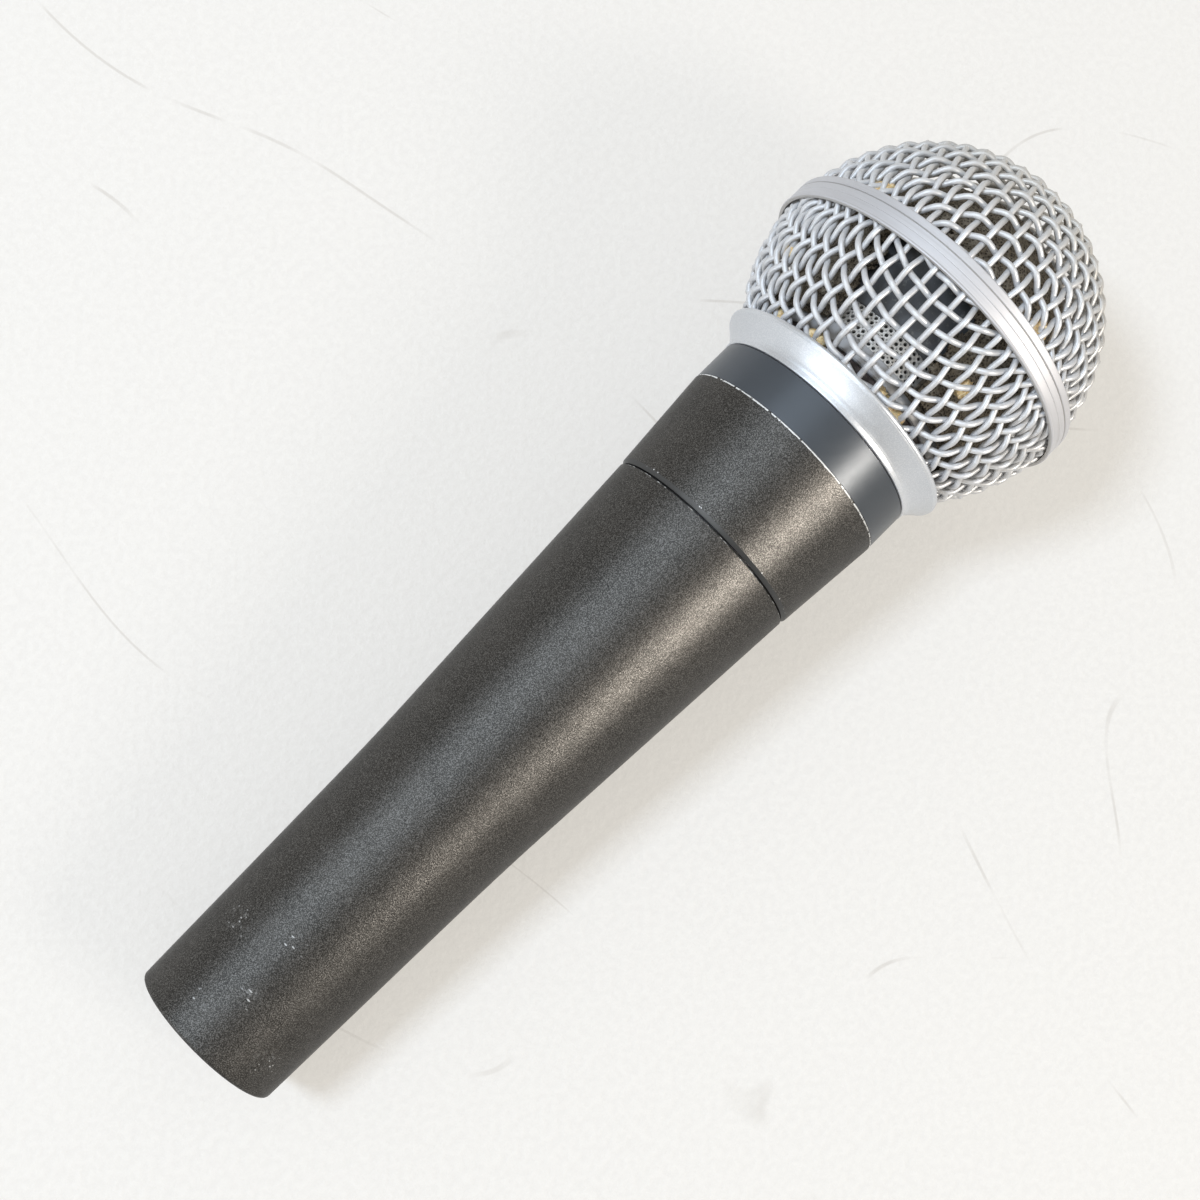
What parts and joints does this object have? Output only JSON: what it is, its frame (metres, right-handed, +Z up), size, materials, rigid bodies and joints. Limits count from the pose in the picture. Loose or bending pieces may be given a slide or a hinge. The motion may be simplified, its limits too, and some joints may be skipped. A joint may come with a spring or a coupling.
{
  "type": "handheld dynamic microphone",
  "caption": "Handheld dynamic vocal microphone: woven ball grille with a band, flared collar, tapered metal handle and a three-pin cable inlet.",
  "frame": {"origin": "on the microphone axis at the tail face, at the mouth of the cable socket", "axes": "+X along the microphone axis, towards the grille; +Z up, on the side of the plug latch recess"},
  "size_m": [0.162, 0.051, 0.051],
  "materials": {
    "dark_enamel": "satin",
    "phenolic": "satin",
    "pin_plating": "polished",
    "plated_steel": "satin",
    "core_steel": "matte",
    "bobbin_plastic": "satin",
    "copper": "gloss",
    "potting_wax": "satin",
    "lead_red": "satin",
    "lead_yellow": "satin",
    "nameplate": "satin",
    "rubber": "matte",
    "can_metal": "satin",
    "frame_plastic": "satin",
    "felt": "matte",
    "cap_plastic": "matte",
    "cloth": "matte",
    "magnet": "satin",
    "board": "satin",
    "film": "gloss",
    "silver_enamel": "satin",
    "grille_wire": "satin",
    "band_metal": "satin",
    "foam": "matte",
    "glue": "satin"
  },
  "bodies": {
    "handle": {"handle_shell": "dark_enamel", "xlr_insert": "phenolic", "contact_pin_1": "pin_plating", "contact_pin_2": "pin_plating", "contact_pin_3": "pin_plating", "ground_strip": "plated_steel", "transformer_core": "core_steel", "transformer_bobbin": "bobbin_plastic", "transformer_winding": "copper", "potting_compound": "potting_wax", "input_leads": "lead_red", "capsule_leads": "lead_yellow"},
    "set_screw": {"insert_set_screw": "plated_steel"},
    "cartridge": {"cartridge_sleeve": "dark_enamel", "nameplate_band": "nameplate", "rear_shock_mount": "rubber", "front_shock_mount": "rubber"},
    "capsule": {"air_chamber_can": "can_metal", "capsule_frame": "frame_plastic", "port_screen": "plated_steel", "port_felt": "felt", "resonator_cap": "cap_plastic", "front_cloth": "cloth", "yoke_cup": "plated_steel", "magnet": "magnet", "pole_plate": "plated_steel", "terminal_board": "board"},
    "diaphragm": {"diaphragm": "film", "voice_coil": "copper"},
    "grille": {"grille_collar": "silver_enamel", "lower_mesh": "grille_wire", "grille_band": "band_metal", "upper_mesh": "grille_wire", "foam_windscreen": "foam", "adhesive_beads": "glue"}
  },
  "joints": [
    {"name": "cartridge_unscrew", "type": "slide", "parent": "handle", "child": "cartridge", "axis": [1, 0, 0], "range_m": [0, 0.03], "deforming": ["capsule_leads"]},
    {"name": "grille_unscrew", "type": "slide", "parent": "cartridge", "child": "grille", "axis": [1, 0, 0], "range_m": [0, 0.05]},
    {"name": "capsule_float", "type": "slide", "parent": "cartridge", "child": "capsule", "axis": [1, 0, 0], "range_m": [-0.0008, 0.0008], "stiffness_N_per_m": 1500, "deforming": ["front_shock_mount", "rear_shock_mount"]},
    {"name": "diaphragm_travel", "type": "slide", "parent": "capsule", "child": "diaphragm", "axis": [1, 0, 0], "range_m": [-0.00025, 0.00025], "stiffness_N_per_m": 600},
    {"name": "set_screw_turn", "type": "hinge", "parent": "handle", "child": "set_screw", "pos_m": [0.0197, 0, 0.0037], "axis": [0, 0, 1], "range_deg": [0, 540]}
  ]
}
